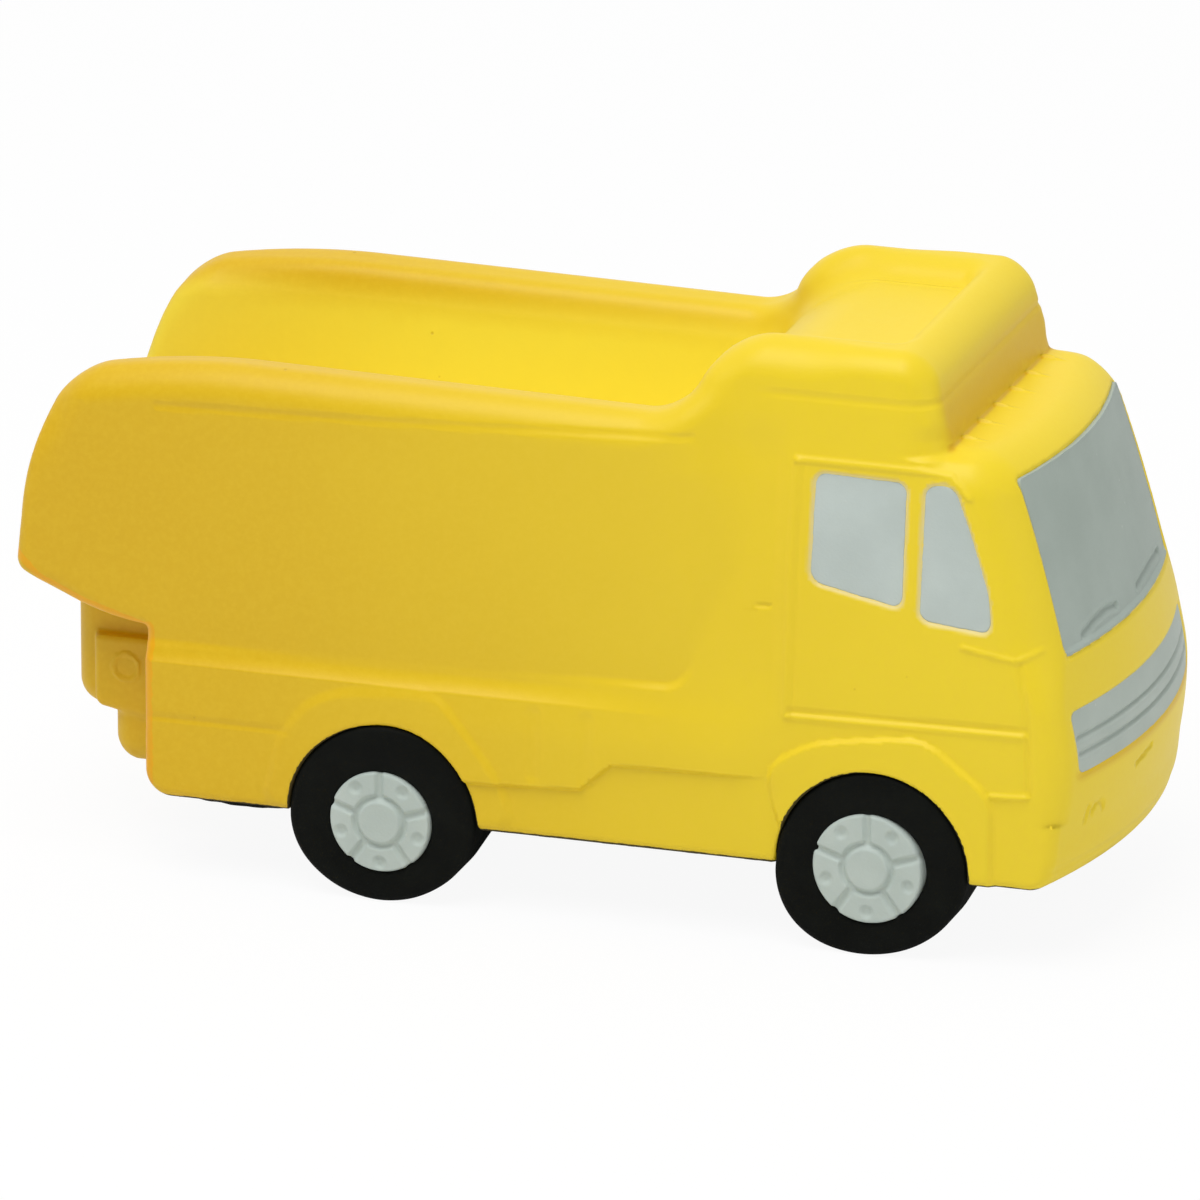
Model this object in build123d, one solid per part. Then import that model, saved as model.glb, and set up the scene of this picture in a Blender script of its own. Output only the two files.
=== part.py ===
from build123d import *
import math
import os

# Moulded foam dump truck.  Millimetres.  +X is forward, +Z is up, and the
# origin is on the ground under the middle of the toy.

# ------------------------------------------------------------ whole toy
overall_length = 103.6          # hopper lip to nose
skin = 2.0                      # closed foam skin over the softer core
paint_inlay = 0.8               # depth of the painted window and grille zones
underside_coat = 1.0            # depth of the black underside zone
underside_margin = 0.8          # yellow edge left round the underside zone

x_nose = overall_length / 2
x_lip = -overall_length / 2

# ------------------------------------------------------------ wheels
front_axle_setback = 21.8       # nose to front axle
wheelbase = 46.5
tyre_radius = 8.95
tyre_inner_radius = 8.0         # the wheel block narrows towards the middle
front_axle_height = 8.35        # less than the radius: the tyre stands on a flat
rear_axle_height = 7.7
tyre_width = 16.2
tyre_edge = 0.5                 # rounding of the outer tyre edge
tyre_proud = 0.4                # tyre face beyond the chassis side
tyre_shoulder = 3.0             # straight tread inside the chassis side
front_hub_radius = 5.2
rear_hub_radius = 4.8
hub_recess = 1.4                # depth of the wheel centre's seat
hub_base = 0.8                  # plain disc under the raised pads
hub_pad_height = 0.45
hub_boss_radius = 2.3
hub_boss_height = 0.6
hub_ring_gap = 0.45             # groove round the central boss
hub_spoke_width = 0.8           # groove between two pads
hub_pads = 5
dimple_radius = 0.4

x_front_axle = x_nose - front_axle_setback
x_rear_axle = x_front_axle - wheelbase

# ------------------------------------------------------------ chassis
chassis_half_width = 19.5
body_bottom = 7.6               # ground to the flat underside
chassis_shoulder = 21.0         # where the side starts to lean in
tail_overhang = 23.0            # rear axle to the chassis tail
bottom_edge = 0.9
tail_round = 2.5                # lower rear corner of the chassis

x_tail = x_rear_axle - tail_overhang
tyre_outer = chassis_half_width + tyre_proud
tyre_inner = tyre_outer - tyre_width

# rear light block and step block behind the tail
light_block_length = 9.0
light_block_bottom = 13.3
light_block_half_width = 13.0
step_block_length = 5.8
step_block_half_width = 11.5
block_corner = 2.4
lamp_radius = 1.7
lamp_proud = 0.3
lamp_setback = 4.2              # tail to lamp centre
lamp_height = 17.2

# ------------------------------------------------------------ hopper
hopper_half_width = 19.0
hopper_skirt = 23.5             # lower edge of the side panel
crest_height = 49.0
wall_top = 6.3                  # wall thickness at the crest
wall_draft = 1.4                # how much the cavity narrows to its floor
crest_round = 3.1
cavity_round = 3.0
floor_height = 31.0
tail_floor_rise = 5.5           # the floor climbs towards the open rear end
tail_ramp_length = 12.0
lip_height = 29.7
lip_toe = 2.2                   # the underside meets the lip this far forward
lip_depth = 3.1
rear_lean = 1.3                 # forward lean of the rear edge
rear_upper = 11.0               # depth of its more sloping upper part
hopper_rear_corner = 12.0
panel_front_lean = 5.2          # the side panel's front edge leans forward
panel_front_corner = 2.5

# ------------------------------------------------------------ cab
cab_length = 40.2               # nose to the back of the cab
cab_corner = 3.0
windscreen_sill = 28.9
windscreen_head = 44.9
roof_height = 47.6
# height, set back from the nose, half width, bow of the front in plan
cab_levels = [
    (body_bottom, 2.7, chassis_half_width - bottom_edge, 2.4),
    (body_bottom + bottom_edge, 1.9, chassis_half_width, 2.6),
    (13.0, 0.6, chassis_half_width, 3.3),
    (19.0, 0.0, chassis_half_width, 3.7),
    (24.0, 1.1, chassis_half_width - 0.1, 3.3),
    (windscreen_sill, 2.9, chassis_half_width - 0.4, 2.1),
    (windscreen_head, 7.4, chassis_half_width - 1.6, 2.0),
    (46.4, 8.5, chassis_half_width - 2.0, 2.0),
    (roof_height, 11.0, chassis_half_width - 2.6, 2.0),
]

x_cab_rear = x_nose - cab_length

# ------------------------------------------------------------ roof fairing
fairing_height = 55.8           # ground to the rim
fairing_base_half_width = 17.2
fairing_top_half_width = 15.0
fairing_front_setback = 16.2    # nose to the foot of its front face
fairing_front_lean = 2.6
fairing_rise_start = 40.4       # nose to the foot of the rear slope
fairing_rise_length = 4.0
fairing_round = 3.6
fairing_rear_round = 5.0
rim_width = 4.6                 # raised rim round the roof panel
panel_depth = 2.4               # rim to the recessed roof panel
bulkhead_lean = 2.5

x_bulkhead = x_nose - fairing_rise_start
x_fairing_front = x_nose - fairing_front_setback

# ------------------------------------------------------------ glazing
# side panes: set back from the nose and height of each corner
door_pane = [(27.4, 44.8), (19.8, 44.6), (19.9, 33.0), (27.5, 34.7)]
quarter_pane = [(17.6, 44.6), (14.8, 44.8), (10.9, 31.7), (17.9, 32.2)]
pane_corner = 1.0
windscreen_half_top = 13.7
windscreen_half_sill = 15.4
grille_top = 24.0
grille_bottom = 18.3
grille_half_top = 14.8
grille_half_bottom = 15.0

BEYOND = 80.0                   # length of cutting tools that run right through


# ------------------------------------------------------------ helpers
def outline(points, radii):
    """Closed face through the points, each corner rounded by its radius."""
    return make_face(FilletPolyline(*points, radius=radii, close=True))


def side_prism(points, radii, half_width):
    """Outline in X and Z, carried to both sides of the middle."""
    return extrude(Plane.XZ * outline(points, radii), half_width, both=True)


def cross_prism(points, radii, x_start, x_end):
    """Outline in Y and Z, carried along X."""
    face = Plane.YZ.offset(x_start) * outline(points, radii)
    return extrude(face, x_end - x_start)


def span_box(x_range, y_range, z_range):
    """Box between three pairs of coordinates."""
    size = [high - low for low, high in (x_range, y_range, z_range)]
    middle = [(high + low) / 2 for low, high in (x_range, y_range, z_range)]
    return Pos(*middle) * Box(*size)


def mirrored(points):
    """Half an outline on +Y, completed by its mirror image."""
    return points + [(-y, z) for y, z in reversed(points)]


def largest(shape):
    """The one solid that matters when a cut leaves a loose sliver."""
    return max(shape.solids(), key=lambda solid: solid.volume)


# ------------------------------------------------------------ outer form
def chassis_form():
    """Straight lower body: upright sides that lean in above the shoulder."""
    half = [
        (chassis_half_width, body_bottom),
        (chassis_half_width, chassis_shoulder),
        (hopper_half_width, hopper_skirt + 1.0),
    ]
    radii = [bottom_edge, 0, 0]
    x_inside_cab = x_cab_rear + cab_corner
    beam = cross_prism(mirrored(half), radii + radii[::-1], x_tail, x_inside_cab)
    side_points = [
        (x_tail, body_bottom),
        (x_tail, crest_height),
        (x_inside_cab, crest_height),
        (x_inside_cab, body_bottom),
    ]
    return beam & side_prism(side_points, [tail_round, 0, 0, 0], chassis_half_width)


def tail_blocks():
    """Light block and step block on the tail, with chamfered corners."""
    top = floor_height - cavity_round

    def block(length, half_width, bottom, height):
        plan = [
            (x_tail + skin, half_width),
            (x_tail - length + block_corner, half_width),
            (x_tail - length, half_width - block_corner),
            (x_tail - length, -half_width + block_corner),
            (x_tail - length + block_corner, -half_width),
            (x_tail + skin, -half_width),
        ]
        face = Plane.XY.offset(bottom) * make_face(Polyline(*plan, close=True))
        return extrude(face, height - bottom)

    light = block(light_block_length, light_block_half_width, light_block_bottom, top)
    step = block(step_block_length, step_block_half_width, body_bottom,
                 light_block_bottom + skin)
    lamp = Pos(x_tail - lamp_setback, 0, lamp_height) * Rot(90, 0, 0) * Cylinder(
        lamp_radius, 2 * (light_block_half_width + lamp_proud)
    )
    return light + step + lamp


def hopper_outline():
    """Side outline of the hopper, from the lip to its leaning front edge."""
    points = [
        (x_bulkhead, hopper_skirt),
        (x_tail + 0.5, hopper_skirt),
        (x_lip + lip_toe, lip_height - lip_depth),
        (x_lip, lip_height),
        (x_lip + rear_lean, crest_height - rear_upper),
        (x_lip + rear_lean + rear_upper / 3, crest_height),
        (x_bulkhead + panel_front_lean, crest_height),
    ]
    radii = [panel_front_corner, 8.0, 1.5, 0, 14.0, hopper_rear_corner, 0]
    return points, radii


def hopper_form():
    """U-shaped trough cut to the side outline, with a floor that climbs aft."""
    inner_top = hopper_half_width - wall_top
    inner_floor = inner_top - wall_draft
    half = [
        (hopper_half_width, hopper_skirt - 1.0),
        (hopper_half_width, crest_height),
        (inner_top, crest_height),
        (inner_floor, floor_height),
    ]
    radii = [0, crest_round, crest_round, cavity_round]
    points, corner_radii = hopper_outline()
    side = side_prism(points, corner_radii, chassis_half_width)
    trough = cross_prism(
        mirrored(half), radii + radii[::-1], x_lip, x_bulkhead + panel_front_lean
    )
    ramp_points = [
        (x_lip, floor_height - 3.0),
        (x_lip, floor_height + tail_floor_rise),
        (x_lip + tail_ramp_length, floor_height),
        (x_lip + tail_ramp_length, floor_height - 3.0),
    ]
    ramp_face = make_face(Polyline(*ramp_points, close=True))
    ramp = extrude(Plane.XZ * ramp_face, inner_floor + wall_draft / 2, both=True)
    return (trough + ramp) & side


def fairing_form():
    """Roof fairing: sloped behind, rimmed round a sunk roof panel open aft."""
    foot = floor_height - cavity_round
    rise_end = x_bulkhead + fairing_rise_length
    side_points = [
        (x_bulkhead - bulkhead_lean, foot),
        (x_bulkhead - bulkhead_lean, floor_height),
        (x_bulkhead, crest_height - 1.0),
        (rise_end, fairing_height),
        (x_fairing_front - fairing_front_lean, fairing_height),
        (x_fairing_front, roof_height),
        (x_fairing_front, foot),
    ]
    side = side_prism(
        side_points, [0, 0, 1.5, fairing_rear_round, fairing_round, 0, 0], chassis_half_width
    )
    half = [
        (fairing_base_half_width, foot),
        (fairing_base_half_width, roof_height),
        (fairing_top_half_width, fairing_height),
    ]
    radii = [0, 0, fairing_round]
    section = cross_prism(
        mirrored(half), radii + radii[::-1], x_bulkhead - cavity_round, x_nose
    )
    panel_half = fairing_top_half_width - rim_width
    panel_z = fairing_height - panel_depth
    slope = fairing_rise_length / (fairing_height - crest_height + 1.0)
    panel_points = [
        (x_bulkhead - BEYOND, crest_height - 1.0),
        (x_bulkhead, crest_height - 1.0),
        (rise_end - slope * panel_depth, panel_z),
        (x_fairing_front - fairing_front_lean - rim_width, panel_z),
        (x_fairing_front - fairing_front_lean - rim_width + 0.6, fairing_height + 1.0),
        (x_bulkhead - BEYOND, fairing_height + 1.0),
    ]
    panel = side_prism(panel_points, [0, 0, 2.0, 1.2, 0, 0], panel_half)
    return (side & section) - panel


def cab_form(inset):
    """Cab: level sections joined one to the next, all drawn in by the inset."""
    sections = []
    for height, setback, half_width, bow in cab_levels:
        front = x_nose - setback - inset
        half = half_width - inset
        edge = front - bow
        turn = math.sqrt(0.5) * cab_corner
        centre_x = edge - cab_corner
        centre_y = half - cab_corner
        z = min(max(height, body_bottom), roof_height - inset)
        corner_right = ThreePointArc(
            (centre_x, -half, z),
            (centre_x + turn, -centre_y - turn, z),
            (edge, -centre_y, z),
        )
        nose = ThreePointArc((edge, -centre_y, z), (front, 0, z), (edge, centre_y, z))
        corner_left = ThreePointArc(
            (edge, centre_y, z),
            (centre_x + turn, centre_y + turn, z),
            (centre_x, half, z),
        )
        back = Polyline(
            (centre_x, half, z),
            (x_cab_rear + inset, half, z),
            (x_cab_rear + inset, -half, z),
            (centre_x, -half, z),
        )
        if sections and z - sections[-1][0] < 0.3:
            sections.pop()
        sections.append((z, make_face(corner_right + nose + corner_left + back)))
    return loft([face for _, face in sections], ruled=True)


def core_form():
    """Soft core: cab and chassis, one skin inside, under the hopper floor."""
    base = body_bottom + underside_coat
    below = span_box(
        (-BEYOND, BEYOND), (-BEYOND, BEYOND), (base - BEYOND, base)
    )
    bed = span_box(
        (x_tail + skin, x_cab_rear + cab_length / 2),
        (-chassis_half_width + skin, chassis_half_width - skin),
        (base, hopper_skirt),
    )
    bed_top = span_box(
        (x_tail + skin, x_cab_rear + cab_length / 2),
        (-hopper_half_width + wall_top, hopper_half_width - wall_top),
        (hopper_skirt, floor_height - skin),
    )
    return largest(bed + bed_top + cab_form(skin) - below)


# ------------------------------------------------------------ painted zones
def side_pane(corners):
    """Prism of a side pane on the right, from the nose-based corner list."""
    points = [(x_nose - setback, height) for setback, height in corners]
    face = Plane.XZ * outline(points, [pane_corner] * len(points))
    return extrude(face, BEYOND)


def front_pane(half_top, top, half_bottom, bottom):
    """Prism of a front pane, taken forward from the middle of the cab."""
    half = [(half_bottom, bottom), (half_top, top)]
    radii = [pane_corner, pane_corner]
    return cross_prism(mirrored(half), radii * 2, x_fairing_front, BEYOND)


def wheel_block(profile, radii, x, height):
    """Turn a radius-and-width profile about the axle of a right-hand wheel."""
    turned = revolve(outline(profile, radii), Axis.Y, 360)
    return Pos(x, 0, height) * mirror(turned, Plane.XZ)


def tyre_solid(x, height, hub_radius):
    """Right-hand tyre: tapered block with a seat for the wheel centre."""
    seat = tyre_outer - hub_recess
    profile = [
        (0, tyre_inner),
        (tyre_inner_radius, tyre_inner),
        (tyre_radius, chassis_half_width - tyre_shoulder),
        (tyre_radius, tyre_outer),
        (hub_radius, tyre_outer),
        (hub_radius, seat),
        (0, seat),
    ]
    block = wheel_block(profile, [0, 0, 0, tyre_edge, 0, 0, 0], x, height)
    ground = span_box((-BEYOND, BEYOND), (-BEYOND, BEYOND), (0, BEYOND))
    return largest(block & ground)


def wheel_pocket(x, height):
    """Room for one wheel block on the right, open through the side."""
    profile = [
        (0, tyre_inner),
        (tyre_inner_radius, tyre_inner),
        (tyre_radius, chassis_half_width - tyre_shoulder),
        (tyre_radius, BEYOND),
        (0, BEYOND),
    ]
    return wheel_block(profile, [0] * len(profile), x, height)


def wheel_centre_solid(x, height, hub_radius):
    """Right-hand wheel centre: disc, central boss and five dimpled pads."""
    def disc(radius, thickness):
        return Pos(0, 0, thickness / 2) * Cylinder(radius, thickness)

    pad_inner = hub_boss_radius + hub_ring_gap
    pad_middle = (pad_inner + hub_radius) / 2
    pads = disc(hub_radius - 0.3, hub_base + hub_pad_height) - disc(
        pad_inner, hub_base + hub_pad_height
    )
    for index in range(hub_pads):
        angle = 90 + index * 360 / hub_pads
        groove = Pos(hub_radius / 2, 0, hub_base + hub_pad_height) * Box(
            hub_radius, hub_spoke_width, 2 * hub_pad_height
        )
        dimple = Pos(pad_middle, 0, hub_base + hub_pad_height) * Cylinder(
            dimple_radius, hub_pad_height
        )
        pads -= Rot(0, 0, angle) * groove
        pads -= Rot(0, 0, angle + 180 / hub_pads) * dimple
    centre = disc(hub_radius, hub_base) + disc(hub_boss_radius, hub_base + hub_boss_height)
    whole = centre + pads
    seat = -(tyre_outer - hub_recess)
    return largest(Pos(x, seat, height) * Rot(90, 0, 0) * whole)


def underside_form():
    """Black underside zone: a plate let into the bottom of the body."""
    top = body_bottom + underside_coat
    slab = span_box((-BEYOND, BEYOND), (-BEYOND, BEYOND), (body_bottom, top))
    bed = span_box(
        (x_tail + tail_round, x_cab_rear + cab_length / 2),
        (-chassis_half_width + bottom_edge + underside_margin,
         chassis_half_width - bottom_edge - underside_margin),
        (body_bottom, top),
    )
    return bed + (cab_form(bottom_edge + underside_margin) & slab)


def save(name, solid):
    """Write one sub-part, named after its file."""
    solid.label = name
    export_step(solid, f"parts/{name}.step")


os.makedirs("parts", exist_ok=True)

outer = chassis_form() + tail_blocks() + hopper_form() + cab_form(0) + fairing_form()
cab_rind = cab_form(0) - cab_form(paint_inlay)
core = core_form()
underside = underside_form()

axles = {
    "front": (x_front_axle, front_axle_height, front_hub_radius),
    "rear": (x_rear_axle, rear_axle_height, rear_hub_radius),
}
for x, height, _ in axles.values():
    pocket = wheel_pocket(x, height)
    pockets = pocket + mirror(pocket, Plane.XZ)
    outer -= pockets
    core -= pockets
    underside -= pockets

panes = {
    "windscreen": cab_rind & front_pane(
        windscreen_half_top, windscreen_head, windscreen_half_sill, windscreen_sill
    ),
    "grille_band": cab_rind & front_pane(
        grille_half_top, grille_top, grille_half_bottom, grille_bottom
    ),
}
for name, corners in (("door_window", door_pane), ("quarter_window", quarter_pane)):
    right = cab_rind & side_pane(corners)
    panes[f"{name}_right"] = right
    panes[f"{name}_left"] = mirror(right, Plane.XZ)

body = outer - core - underside
for name, pane in panes.items():
    body -= pane
    save(name, largest(pane))

save("body_skin", largest(body))
save("foam_core", largest(core))
save("underside_skin", largest(underside))
for end, (x, height, hub_radius) in axles.items():
    tyre = tyre_solid(x, height, hub_radius)
    centre = wheel_centre_solid(x, height, hub_radius)
    save(f"tyre_{end}_right", tyre)
    save(f"tyre_{end}_left", mirror(tyre, Plane.XZ))
    save(f"wheel_centre_{end}_right", centre)
    save(f"wheel_centre_{end}_left", mirror(centre, Plane.XZ))
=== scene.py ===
"""Moulded foam dump truck: its looks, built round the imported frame.

Shapes are worked out in millimetres and put into the meshes in metres.
+X is forward, +Z is up, and the right side of the truck is on -Y.
"""
import math

import bmesh
import bpy
import numpy as np
from mathutils import Matrix, Vector


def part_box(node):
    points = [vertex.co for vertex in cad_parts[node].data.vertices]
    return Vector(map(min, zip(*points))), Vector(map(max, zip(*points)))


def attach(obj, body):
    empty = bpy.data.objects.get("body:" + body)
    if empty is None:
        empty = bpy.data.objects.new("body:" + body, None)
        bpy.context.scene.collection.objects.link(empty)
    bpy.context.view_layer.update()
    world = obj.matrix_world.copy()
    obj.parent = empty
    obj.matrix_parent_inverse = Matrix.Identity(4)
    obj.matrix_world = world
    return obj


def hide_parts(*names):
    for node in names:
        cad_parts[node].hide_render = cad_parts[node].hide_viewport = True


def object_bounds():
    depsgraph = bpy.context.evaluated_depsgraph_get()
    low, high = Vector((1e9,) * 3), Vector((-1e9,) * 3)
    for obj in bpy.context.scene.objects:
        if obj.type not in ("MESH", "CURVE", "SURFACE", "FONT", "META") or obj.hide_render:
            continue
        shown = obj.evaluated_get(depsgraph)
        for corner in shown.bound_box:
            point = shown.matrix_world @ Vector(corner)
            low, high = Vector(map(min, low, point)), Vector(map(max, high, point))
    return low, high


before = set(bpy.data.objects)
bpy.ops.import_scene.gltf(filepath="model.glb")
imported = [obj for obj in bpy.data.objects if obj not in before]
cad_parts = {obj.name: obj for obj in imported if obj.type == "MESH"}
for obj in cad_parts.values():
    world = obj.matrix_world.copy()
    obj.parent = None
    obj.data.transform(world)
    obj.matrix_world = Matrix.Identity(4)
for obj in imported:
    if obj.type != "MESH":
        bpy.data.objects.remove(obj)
cad_low, cad_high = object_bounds()
MM = 0.001


def span(node):
    """Lowest and highest corner of a CAD node, in millimetres."""
    low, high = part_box(node)
    return np.array(low) / MM, np.array(high) / MM


# ------------ sizes from the frame
skin_low, skin_high = span("body_skin")
LIP, BOTTOM = skin_low[0], skin_low[2]
NOSE, CHASSIS_HALF, FAIRING_TOP = skin_high
windscreen_low, windscreen_high = span("windscreen")
grille_low, grille_high = span("grille_band")
SIDES = (("right", -1), ("left", 1))


def wheel_size(end):
    """Axle X and Z, radius, inner and outer face of the wheels at one end, and the hub radius."""
    low, high = span(f"tyre_{end}_left")
    hub_low, hub_high = span(f"wheel_centre_{end}_left")
    radius = (high[0] - low[0]) / 2
    return {
        "x": (low[0] + high[0]) / 2,
        "z": high[2] - radius,
        "radius": radius,
        "inner": low[1],
        "outer": high[1],
        "hub": (hub_high[0] - hub_low[0]) / 2,
        "hub_face": hub_high[1],
    }


WHEELS = {end: wheel_size(end) for end in ("front", "rear")}

# humps of the tyres' uneven outline: angle in degrees from forward, and height
TYRE_SWELLS = {"front": [(215, 0.45), (80, 0.12)], "rear": [(65, 0.32), (330, -0.26)]}
TYRE_SKEW = {"front": 0.8, "rear": 0.15}  # the tyre's foot lies back by this
HUB_SHIFT = {"front": 0.4, "rear": 0.2}  # the wheel centre lies behind the axle by this

# ------------ hopper
TAIL = LIP + 12.3  # rear end of the chassis
HOPPER_HALF = 18.95  # at the skirt
HOPPER_FLARE = 0.036  # the sides lean out by this per mm of height
SKIRT = 23.5  # lower edge of the side panel
CREST = 49.15  # height of the hopper's sides
CREST_FALL = 0.012  # forward fall of the crest per mm
CREST_TURN = LIP + 22.0  # the crest droops behind this
CREST_DROOP = 0.0068  # droop in mm for each square mm behind the turn
CREST_TILT = 0.10  # the crest falls inwards by this per mm
LIP_HEIGHT = 29.7
REAR_LEAN = 0.12  # rear edge, mm forward per mm up
REAR_TURN = 34.0  # the rear edge curls forward above this
REAR_CURL = 0.0175  # mm forward for each square mm above the turn
REAR_ROUND = 2.6
UNDER_SLOPE = 0.075  # rise of the overhang's underside per mm, and per square mm
UNDER_CURVE = 0.021
CAVITY_TOP = 13.5  # half width of the cavity at the crest
CAVITY_DRAFT = 0.13  # narrowing per mm of depth
FLOOR = 31.0  # of the hopper
RAMP_START = LIP + 12.0  # the floor rises behind this
RAMP_SLOPE = 0.46
CAVITY_ROUND = 3.0
RIM_ROUND = 1.3  # of the cavity's edge at the rear lip

# ------------ cab and fairing
SHOULDER = 21.0  # ledge where the chassis side steps in
DOOR_REAR = NOSE - 29.6
ROOF = 47.35
ROOF_ROUND = 3.4
FOOT_ROUND = 1.1  # where the nose meets the underside, below the belt
BELT_HEIGHT = 30
CORNER_ROUND = 3.4
FAIRING_FRONT = NOSE - 15.85  # foot of the front face
FAIRING_FOOT = 47.6
FAIRING_LEAN = 0.24  # front face, mm back per mm up
FAIRING_REAR = NOSE - 38.8  # rear slope at the height below
FAIRING_REAR_HEIGHT = 52.3
FAIRING_REAR_LEAN = 0.5
FAIRING_SEAM = 51.5  # height of the seam round the fairing
PANEL_FLOOR = FAIRING_TOP - 1.8
PANEL_HALF = 10.1
PANEL_FRONT = NOSE - 21.9
PANEL_SLOPE = 0.7  # the recess widens by this per mm of height
# height, set back from the nose, and bow of the front in plan
FRONT_STOPS = np.array([
    (7.6, 2.9, 2.4),
    (8.5, 2.2, 2.5),
    (13.0, 1.2, 2.5),
    (19.0, 0.8, 2.4),
    (24.0, 1.7, 2.3),
    (28.9, 2.9, 2.1),
    (44.9, 7.4, 2.0),
    (48.6, 8.6, 2.0),
    (56.0, 11.0, 2.0),
])
# height and half width of the cab and of the fairing above it
CAB_WIDTH_STOPS = np.array([
    (7.6, 19.5),
    (19.5, 19.5),
    (24.0, 19.35),
    (28.9, 19.1),
    (37.0, 18.6),
    (44.9, 17.9),
    (47.0, 17.6),
    (50.0, 17.2),
    (55.8, 16.3),
])
# height and X of the wall between hopper and cab, which rolls over onto the roof panel
BULKHEAD_STOPS = np.array([
    (28.0, NOSE - 43.0),
    (40.0, NOSE - 41.4),
    (46.0, NOSE - 40.2),
    (50.0, NOSE - 37.6),
    (53.3, NOSE - 33.2),
    (57.0, NOSE - 27.0),
])


# ------------ distance helpers
def smooth_max(a, b, r):
    """Both shapes at once, the shared edge rounded by an arc of radius r."""
    p, q = a + r, b + r
    return (np.minimum(np.maximum(p, q), 0)
            + np.hypot(np.maximum(p, 0), np.maximum(q, 0)) - r)


def smooth_min(a, b, r):
    """Either shape, the inner corner between them filled by an arc of radius r."""
    return -smooth_max(-a, -b, r)


def positive(value):
    return np.maximum(value, 0)


def ease(low, high, value):
    """0 below low, 1 above high, and a smooth cubic between."""
    t = np.clip((value - low) / (high - low), 0, 1)
    return t * t * (3 - 2 * t)


def fade(low, high, value):
    """1 below low, 0 above high, and a smooth cubic between."""
    return 1 - ease(low, high, value)


def through(stops, value, column=1):
    """Smooth curve through the stops: cubic pieces, each slope the mean of those beside it."""
    at, height = stops[:, 0], stops[:, column]
    slope = np.gradient(height, at)
    value = np.clip(value, at[0], at[-1])
    index = np.clip(np.searchsorted(at, value) - 1, 0, len(at) - 2)
    width = at[index + 1] - at[index]
    t = (value - at[index]) / width
    return (height[index] * (1 + 2 * t) * (1 - t) ** 2 + height[index + 1] * (3 - 2 * t) * t ** 2
            + slope[index] * width * t * (1 - t) ** 2 - slope[index + 1] * width * t ** 2 * (1 - t))


def line_gap(points, x, z):
    """Distance from (x, z) to the nearest of the straight runs that join the points."""
    nearest = None
    for (x0, z0), (x1, z1) in zip(points[:-1], points[1:]):
        run = (x1 - x0) ** 2 + (z1 - z0) ** 2
        t = np.clip(((x - x0) * (x1 - x0) + (z - z0) * (z1 - z0)) / run, 0, 1)
        gap = np.hypot(x - x0 - t * (x1 - x0), z - z0 - t * (z1 - z0))
        nearest = gap if nearest is None else np.minimum(nearest, gap)
    return nearest


def outline_gap(corners, x, z, r=0.0):
    """Signed distance to a convex outline, negative inside, its corners rounded by r."""
    middle = np.mean(corners, axis=0)
    gap = None
    for (x0, z0), (x1, z1) in zip(corners, corners[1:] + corners[:1]):
        length = math.hypot(x1 - x0, z1 - z0)
        nx, nz = (z1 - z0) / length, (x0 - x1) / length
        if (middle[0] - x0) * nx + (middle[1] - z0) * nz > 0:
            nx, nz = -nx, -nz
        edge = (x - x0) * nx + (z - z0) * nz
        gap = edge if gap is None else smooth_max(gap, edge, r)
    return gap


def band_gap(value, low, high):
    """Distance outside a band, negative inside it."""
    return abs(value - (high + low) / 2) - (high - low) / 2


def groove(gap, width):
    """1 along the middle of a line, falling smoothly to 0 at its width."""
    return fade(0, width, gap)


def angles_round(count):
    """Even angles round a circle."""
    return np.linspace(0, 2 * np.pi, count, endpoint=False)


def wobble(angle, amount, seed, waves=(2, 3, 5, 8, 13)):
    """Hand-sprayed unevenness: a few sine waves round the edge, weaker as they get finer."""
    rng = np.random.default_rng(seed)
    total = 0
    for wave in waves:
        total = total + np.sin(wave * angle + rng.uniform(0, 2 * np.pi)) / math.sqrt(wave)
    return amount * total


# ------------ side relief
PANEL_OUTLINE = [(LIP - 5, SKIRT - 1.7), (NOSE - 39.4, SKIRT - 0.2), (NOSE - 36.0, 44.0),
                 (NOSE - 38.0, 50.0), (NOSE - 46.0, 70.0), (LIP - 5, 70.0)]
STEP_EDGE = [(NOSE - 60, 12.4), (NOSE - 55.3, 12.5), (NOSE - 49.4, 12.8), (NOSE - 46.4, 15.5),
             (NOSE - 33, 15.8), (NOSE - 30, 16.0)]
FRONT_FLARE = [(NOSE - 33.0, 15.4), (NOSE - 28.7, 19.3), (NOSE - 22.0, 20.9), (NOSE - 16.8, 21.1),
               (NOSE - 10.6, 16.3), (NOSE - 10.6, 0.0), (NOSE - 29.0, 0.0), (NOSE - 31.0, 12.0)]
REAR_FLARE = [(LIP + 23.8, 8.0), (LIP + 24.0, 11.7), (LIP + 25.8, 16.2), (LIP + 29.6, 19.6),
              (LIP + 40.7, 20.7), (LIP + 43.7, 18.0), (LIP + 46.2, 14.2), (LIP + 47.4, 12.5),
              (LIP + 47.4, 8.0)]
DOOR_PANE = [(NOSE - 27.6, 44.7), (NOSE - 19.1, 44.5), (NOSE - 19.3, 33.0), (NOSE - 27.9, 34.7)]
QUARTER_PANE = [(NOSE - 17.3, 44.5), (NOSE - 14.7, 44.7), (NOSE - 12.4, 39.6), (NOSE - 10.7, 33.0),
                (NOSE - 10.9, 31.5), (NOSE - 17.6, 32.1)]
PANE_ROUND = 1.0  # of the side panes' corners
DOOR_FOLD = [(DOOR_REAR, 22.2), (NOSE - 7.6, 22.6)]
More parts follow.
